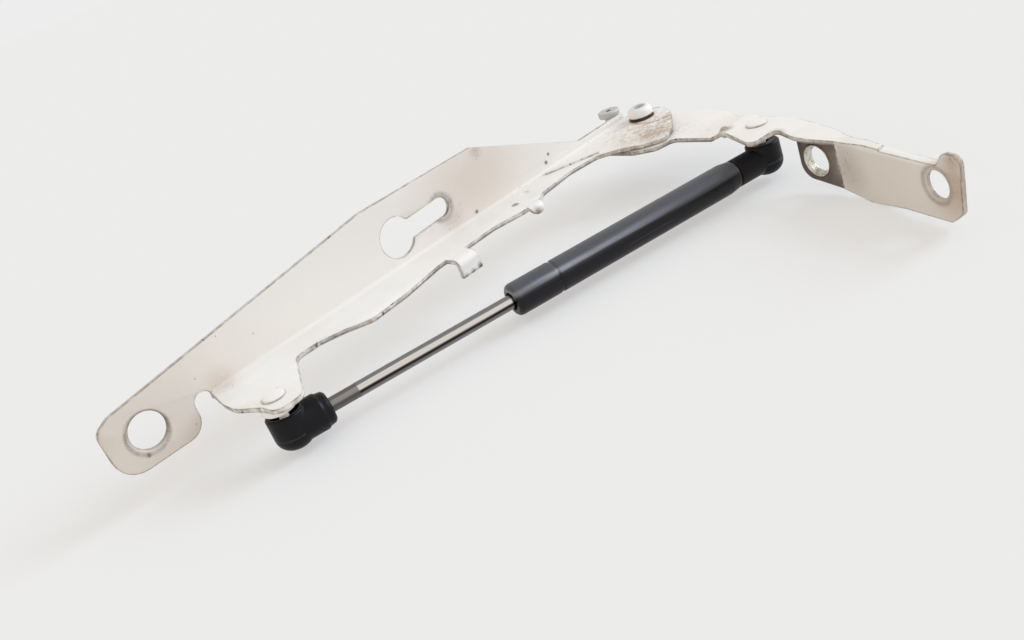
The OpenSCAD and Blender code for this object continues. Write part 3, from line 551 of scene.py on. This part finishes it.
# End sockets: moulded glass-filled nylon, screwed on the rod and on the tube's stud, each snapped over
# its ball. The moulded skin is satin with a fine grain, scuffed pale on the corners.
nylon, tree, shader, spot = finish_named("glass_filled_nylon_moulded")
grain = put(tree, "TexNoise", {"Vector": spot, "Scale": 1 / (0.5 * MM), "Detail": 3.0}).outputs["Fac"]
cloud = put(tree, "TexNoise", {"Vector": spot, "Scale": 1 / (6 * MM), "Detail": 6.0}).outputs["Fac"]
colour = put(tree, "Mix", {0: cloud, 6: ink("#08070A"), 7: ink("#141217")}, data_type="RGBA").outputs[2]
rounded, corner = near_corner(tree, 0.8)
rub = put(tree, "MapRange", {"Value": cloud, "From Min": 0.45, "From Max": 0.65, "To Max": 0.5}).outputs[0]
scuffed = put(tree, "Math", {0: corner, 1: rub}, operation="MULTIPLY").outputs[0]
colour = put(tree, "Mix", {0: scuffed, 6: colour, 7: ink("#5A5759")}, data_type="RGBA").outputs[2]
gloss = put(tree, "MapRange", {"Value": cloud, "To Min": 0.3, "To Max": 0.5}).outputs[0]
skin = put(tree, "Bump", {
    "Height": grain, "Strength": 0.15, "Distance": 0.06 * MM, "Normal": rounded}).outputs[0]
lay_on(tree, shader, colour, gloss, skin)
shader["Specular IOR Level"].default_value = 0.2
for node, name, body in (
        ("rod_end_socket", "rod_socket", "rod"),
        ("tube_end_socket", "tube_socket", "cylinder")):
    socket = stand_in(copy_of(node), node, name)
    socket.data.materials.append(nylon)
    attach(socket, body)

# Socket clips: drawn spring wire, bent to a ring and sprung round each socket's cup, which it keeps on
# its ball. Oiled, so it is dark with grey where the drawing marks show.
wire, tree, shader, spot = finish_named("drawn_spring_wire_oiled")
drawn = put(tree, "TexNoise", {"Vector": spot, "Scale": 1 / (1.2 * MM), "Detail": 5.0}).outputs["Fac"]
colour = put(tree, "Mix", {0: drawn, 6: ink("#1B1A1E"), 7: ink("#4C4A4D")}, data_type="RGBA").outputs[2]
gloss = put(tree, "MapRange", {"Value": drawn, "To Min": 0.25, "To Max": 0.55}).outputs[0]
lay_on(tree, shader, colour, gloss)
shader["Metallic"].default_value = 0.8
for node in ("rod_socket_clip", "tube_socket_clip"):
    coat(node, wire)

# Inside of the strut: the piston with its ring and nut on the rod, and the guide, seal and seal support
# that the rolled tube end holds. Turned steel, nitrile rubber and natural nylon, all wet with oil.
for finish, nodes, dark, light, metal, rough, cell in (
        ("turned_steel_oiled", ("tube_end_stud", "rod_guide", "piston", "piston_nut"),
         "#5B5A58", "#A3A19C", 1.0, 0.3, 1.5),
        ("nitrile_rubber_moulded", ("rod_seal", "piston_ring"), "#0F0F10", "#232224", 0.0, 0.5, 0.8),
        ("natural_nylon_turned", ("seal_support",), "#B9B4A4", "#D8D4C6", 0.0, 0.4, 1.2)):
    material, tree, shader, spot = finish_named(finish)
    cut = put(tree, "TexNoise", {"Vector": spot, "Scale": 1 / (cell * MM), "Detail": 4.0}).outputs["Fac"]
    colour = put(tree, "Mix", {0: cut, 6: ink(dark), 7: ink(light)}, data_type="RGBA").outputs[2]
    gloss = put(tree, "MapRange", {"Value": cut, "To Min": rough - 0.1, "To Max": rough + 0.1}).outputs[0]
    lay_on(tree, shader, colour, gloss)
    shader["Metallic"].default_value = metal
    for node in nodes:
        coat(node, material)

# Studio: a wide pale floor just under the part's lowest point, inside a white tent. The tent's walls are
# bright and a little warm, its ceiling is dimmer, and one broad cool lamp on the strut's side throws the
# soft shadows. Where the walls meet the floor they are the floor's own pale grey.
PALE = (0.847, 0.847, 0.847, 1)
CEILING = (0.76, 0.725, 0.67, 1)
FLOOR_REACH = 60.0  # metres each way, so that its edge is far off in low views
bm = bmesh.new()
bmesh.ops.create_grid(bm, x_segments=1, y_segments=1, size=FLOOR_REACH)
bmesh.ops.translate(bm, verts=bm.verts, vec=(0, 0, cad_box[0].z - 0.2 * MM))
floor = piece_from(bm, "floor")
# half of what the camera and the reflections see of the paper is its even grey, the rest is lit and shadowed
paper, tree, shader, spot = finish_named("matt_paper")
shader["Base Color"].default_value = ink("#EBEBEB")
shader["Roughness"].default_value = 1.0
shader["Specular IOR Level"].default_value = 0.0
rays = put(tree, "LightPath", {}).outputs
seen = rays["Is Camera Ray"]
for ray in ("Is Glossy Ray", "Is Transmission Ray"):
    seen = put(tree, "Math", {0: seen, 1: rays[ray]}, operation="MAXIMUM").outputs[0]
half = put(tree, "Math", {0: seen, 1: 0.5}, operation="MULTIPLY").outputs[0]
glow = put(tree, "Emission", {"Color": PALE, "Strength": 1.0}).outputs[0]
lit = tree.nodes["Principled BSDF"].outputs[0]
both = put(tree, "MixShader", {0: half, 1: lit, 2: glow}).outputs[0]
tree.links.new(both, tree.nodes["Material Output"].inputs["Surface"])
floor.data.materials.append(paper)

world = bpy.data.worlds.new("studio")
bpy.context.scene.world = world
world.use_nodes = True
tree = world.node_tree
tree.nodes.clear()
upward = put(tree, "SeparateXYZ", {0: put(tree, "TexCoord", {}).outputs["Generated"]}).outputs["Z"]
tent = put(tree, "ValToRGB", {"Fac": upward})
stops = tent.color_ramp.elements
stops[0].color = PALE
stops[1].color = CEILING
for at, light in (
        (0.07, PALE), (0.14, (0.98, 0.86, 0.74, 1)), (0.35, (0.96, 0.87, 0.76, 1)), (0.7, CEILING)):
    stops.new(at).color = light
sky = put(tree, "Background", {"Color": tent.outputs["Color"], "Strength": 1.0})
put(tree, "OutputWorld", {"Surface": sky.outputs[0]})

lamp_data = bpy.data.lights.new("broad_lamp", "SUN")
lamp_data.energy = 1.85
lamp_data.angle = math.radians(32)
lamp_data.color = (0.66, 0.81, 1.0)
lamp = in_scene("broad_lamp", lamp_data)
lamp_from = Vector((1.55, -0.9, 1.0))
lamp.rotation_euler = lamp_from.to_track_quat("Z", "Y").to_euler()

# Camera: hand held, from in front of the bonnet end and above, rolled 20 degrees to the right. Its focal
# length is 1000 px on a picture that is 1024 px wide.
FOCAL_PX = 1000
PICTURE_PX = 1024
SENSOR = 36.0
camera_data = bpy.data.cameras.new("camera")
camera_data.sensor_width = SENSOR
camera_data.lens = SENSOR * FOCAL_PX / PICTURE_PX
camera_data.clip_start = 0.01
camera_data.clip_end = 200
camera = in_scene("camera", camera_data)
right = Vector((0.6926, -0.6363, -0.3397))
up = Vector((0.5203, 0.1146, 0.8463))
back = right.cross(up).normalized()
turn = Matrix((right.normalized(), back.cross(right).normalized(), back)).transposed()
camera.matrix_world = Matrix.Translation(place(-459.3, -465.1, 187.2)) @ turn.to_4x4()
bpy.context.scene.camera = camera
bpy.context.scene.view_settings.view_transform = "Standard"

bpy.context.view_layer.update()
